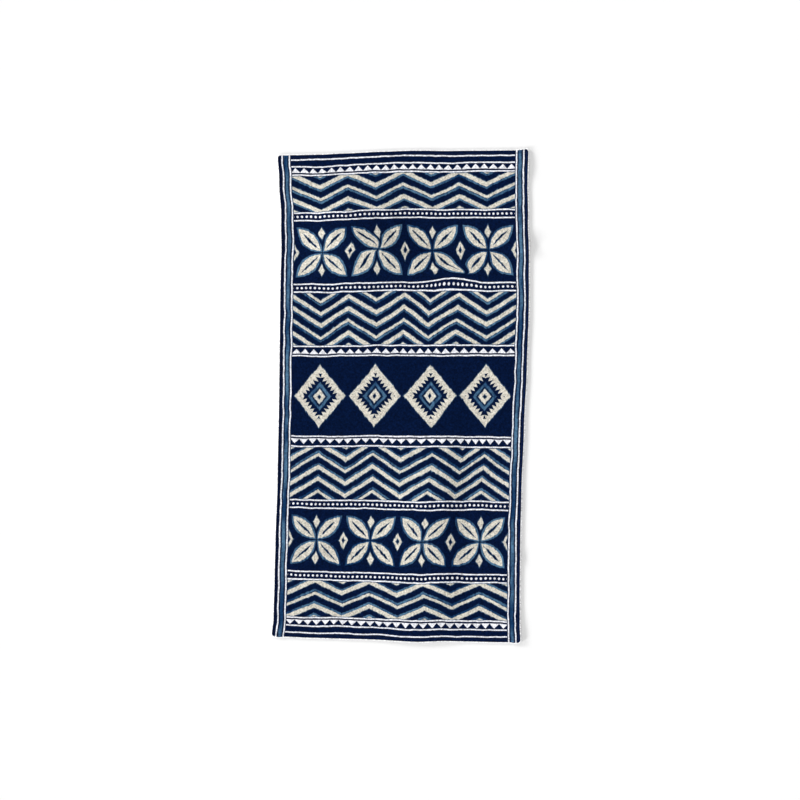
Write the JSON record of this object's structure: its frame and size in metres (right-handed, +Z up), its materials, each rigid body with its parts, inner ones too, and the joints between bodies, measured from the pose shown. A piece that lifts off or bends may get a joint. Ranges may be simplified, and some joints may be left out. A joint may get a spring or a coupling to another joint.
{
  "type": "bath towel",
  "caption": "Rectangular sheet of printed terry cloth with rounded corners, laid out flat with a few soft crosswise folds and slightly lifted corners.",
  "frame": {"origin": "centre of the towel's outline, seen from above, on the surface that it lies on", "axes": "+Y along the towel's length, +X across its width to the right as the picture shows it, +Z up from the surface"},
  "size_m": [0.7262, 1.3812, 0.029],
  "materials": {
    "printed_terry": "dark blue and cream print on sheared cotton terry, matt"
  },
  "bodies": {
    "root": {"towel": "printed_terry"}
  },
  "joints": []
}
